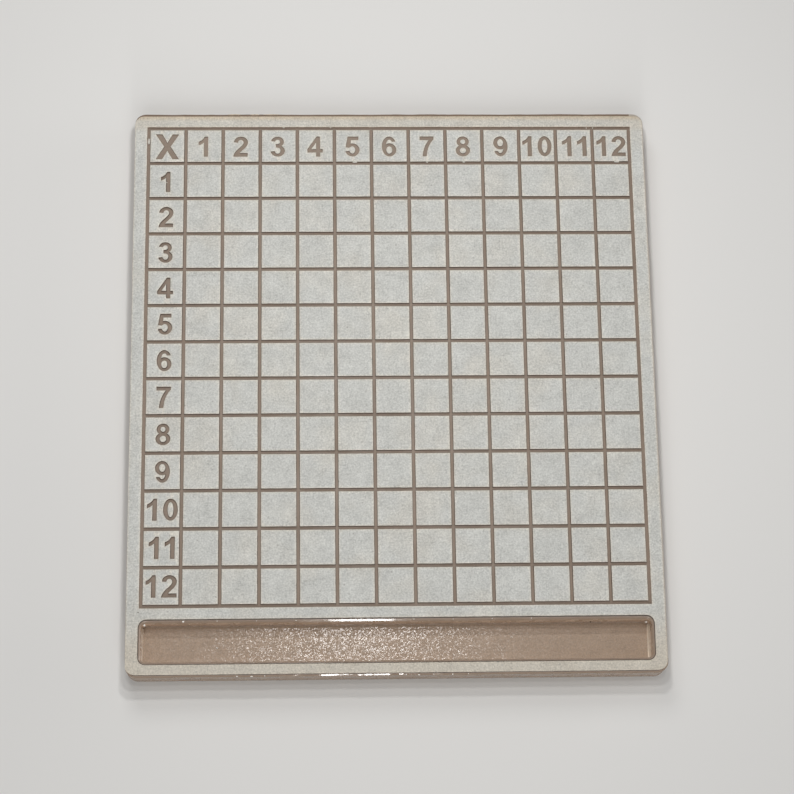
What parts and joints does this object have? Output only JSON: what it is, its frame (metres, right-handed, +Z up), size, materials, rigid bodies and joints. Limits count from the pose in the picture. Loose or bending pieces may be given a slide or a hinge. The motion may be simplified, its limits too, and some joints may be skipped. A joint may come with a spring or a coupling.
{
  "type": "multiplication board",
  "caption": "Flat multiplication board: a square grid of pale cells with cut numerals along the back row and left column, and a long pen tray along the front.",
  "frame": {"origin": "middle of the underside, on the surface that the board lies on", "axes": "+X along the row of column headings from left to right, +Y away from the tray, +Z up out of the face"},
  "size_m": [0.219, 0.242, 0.0127],
  "materials": {
    "brown_sheet": "glossy brown sheet with chamfered edges",
    "pale_facing": "matt mottled pale grey paper facing"
  },
  "bodies": {
    "root": {"base_sheet": "brown_sheet", "top_sheet": "brown_sheet", "border_facing": "pale_facing", "times_sign_tile": "pale_facing", "column_heading_1": "pale_facing", "column_heading_2": "pale_facing", "column_heading_3": "pale_facing", "column_heading_4": "pale_facing", "column_heading_4_counter": "pale_facing", "column_heading_5": "pale_facing", "column_heading_6": "pale_facing", "column_heading_6_counter": "pale_facing", "column_heading_7": "pale_facing", "column_heading_8": "pale_facing", "column_heading_8_upper_counter": "pale_facing", "column_heading_8_lower_counter": "pale_facing", "column_heading_9": "pale_facing", "column_heading_9_counter": "pale_facing", "column_heading_10": "pale_facing", "column_heading_10_counter": "pale_facing", "column_heading_11": "pale_facing", "column_heading_12": "pale_facing", "row_heading_1": "pale_facing", "row_heading_2": "pale_facing", "row_heading_3": "pale_facing", "row_heading_4": "pale_facing", "row_heading_4_counter": "pale_facing", "row_heading_5": "pale_facing", "row_heading_6": "pale_facing", "row_heading_6_counter": "pale_facing", "row_heading_7": "pale_facing", "row_heading_8": "pale_facing", "row_heading_8_upper_counter": "pale_facing", "row_heading_8_lower_counter": "pale_facing", "row_heading_9": "pale_facing", "row_heading_9_counter": "pale_facing", "row_heading_10": "pale_facing", "row_heading_10_counter": "pale_facing", "row_heading_11": "pale_facing", "row_heading_12": "pale_facing", "product_row_1": "pale_facing", "product_row_2": "pale_facing", "product_row_3": "pale_facing", "product_row_4": "pale_facing", "product_row_5": "pale_facing", "product_row_6": "pale_facing", "product_row_7": "pale_facing", "product_row_8": "pale_facing", "product_row_9": "pale_facing", "product_row_10": "pale_facing", "product_row_11": "pale_facing", "product_row_12": "pale_facing"}
  },
  "joints": []
}
